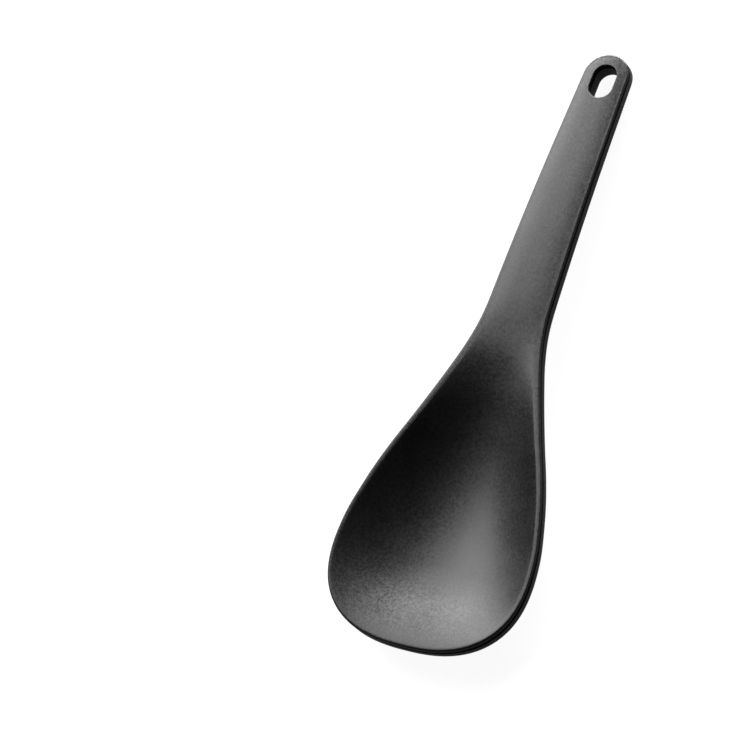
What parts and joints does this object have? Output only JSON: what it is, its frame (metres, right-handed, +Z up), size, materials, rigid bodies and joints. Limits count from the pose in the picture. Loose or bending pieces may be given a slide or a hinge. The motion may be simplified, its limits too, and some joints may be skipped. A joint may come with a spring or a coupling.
{
  "type": "rice paddle",
  "caption": "Scoop-shaped rice paddle with a shallow dish, a slim crowned handle, an obround hang slot and a fine seam all round its edge.",
  "frame": {"origin": "on the surface that the paddle lies on, below the middle of its bounding box", "axes": "+Z up out of the dish, with the paddle on its back; +Y along the paddle from the blade to the handle's end; +X across it to the right"},
  "size_m": [0.0734, 0.22, 0.0126],
  "materials": {
    "silicone_front": "matte moulded silicone",
    "silicone_back": "matte moulded silicone",
    "nylon_core": "glass-filled nylon, moulded"
  },
  "bodies": {
    "root": {"front_skin": "silicone_front", "back_skin": "silicone_back", "core": "nylon_core"}
  },
  "joints": []
}
